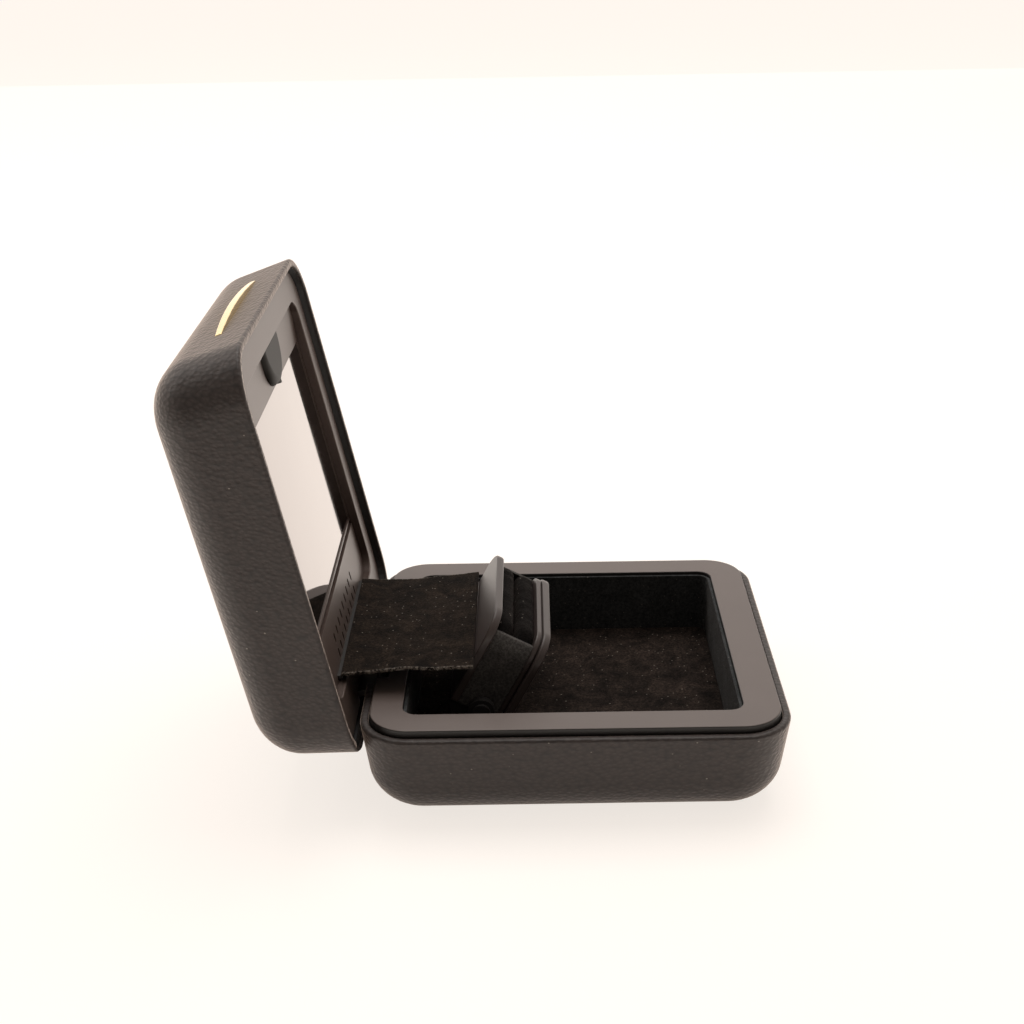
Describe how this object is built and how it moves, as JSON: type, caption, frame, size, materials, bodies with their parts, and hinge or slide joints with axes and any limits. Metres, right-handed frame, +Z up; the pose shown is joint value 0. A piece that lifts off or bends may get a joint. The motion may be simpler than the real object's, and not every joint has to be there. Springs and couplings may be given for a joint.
{
  "type": "ring display box",
  "caption": "Hinged clamshell ring box in black leatherette with a framed suede tray, a tilting ring holder on a cloth flap, and a glazed panel, speaker and lamp in its lid.",
  "frame": {"origin": "centre of the underside of the base", "axes": "+X from the hinge to the front, +Y across the box, +Z up; the lid stands open"},
  "size_m": [0.1399, 0.0978, 0.1128],
  "materials": {
    "leatherette": "fine-grained",
    "shell_plastic": "matt",
    "frame_plastic": "satin",
    "suede": "napped",
    "nickel": "plated",
    "hinge_steel": "satin",
    "gold_plate": "polished",
    "panel_glass": "gloss",
    "module_black": "satin",
    "board_laminate": "matt",
    "battery_foil": "satin",
    "lens_plastic": "gloss"
  },
  "bodies": {
    "base": {"base_cover": "leatherette", "base_shell": "shell_plastic", "base_frame": "frame_plastic", "base_magnets": "nickel", "base_screws": "nickel", "base_weight": "hinge_steel", "tray_tub": "shell_plastic", "tray_lining": "suede", "tray_floor": "suede", "holder_bracket": "shell_plastic", "holder_axle": "nickel", "base_hinge_leaves": "hinge_steel", "hinge_pins": "nickel"},
    "lid": {"lid_cover": "leatherette", "lid_shell": "shell_plastic", "lid_frame": "frame_plastic", "lid_magnets": "nickel", "lid_screws": "nickel", "lid_hinge_leaves": "hinge_steel", "thumb_trim": "gold_plate", "panel_bezel": "frame_plastic", "panel_glass": "panel_glass", "panel_module": "module_black", "circuit_board": "board_laminate", "battery": "battery_foil", "speaker_plate": "frame_plastic", "speaker": "shell_plastic", "lamp_housing": "frame_plastic", "lamp_lens": "lens_plastic", "flap_clamp": "shell_plastic"},
    "holder": {"holder_core": "shell_plastic", "holder_rear_plate": "frame_plastic", "holder_front_plate": "frame_plastic", "holder_side_bands": "suede", "ring_cushion_rear": "suede", "ring_cushion_front": "suede"},
    "flap": {"pull_flap": "suede"}
  },
  "joints": [
    {"name": "lid_hinge", "type": "hinge", "parent": "base", "child": "lid", "pos_m": [-0.0465, 0, 0.0194], "axis": [0, 1, 0], "range_deg": [0, 102]},
    {"name": "holder_tilt", "type": "hinge", "parent": "base", "child": "holder", "pos_m": [-0.0223, 0, 0.016], "axis": [0, 1, 0], "range_deg": [0, 61]},
    {"name": "flap_crease", "type": "hinge", "parent": "lid", "child": "flap", "pos_m": [-0.05485, 0, 0.02887], "axis": [0, 1, 0], "range_deg": [-101, 0]}
  ],
  "couplings": [
    {"joint": "holder_tilt", "follows": "lid_hinge", "ratio": 0.58823},
    {"joint": "flap_crease", "follows": "lid_hinge", "ratio": -0.97284}
  ]
}
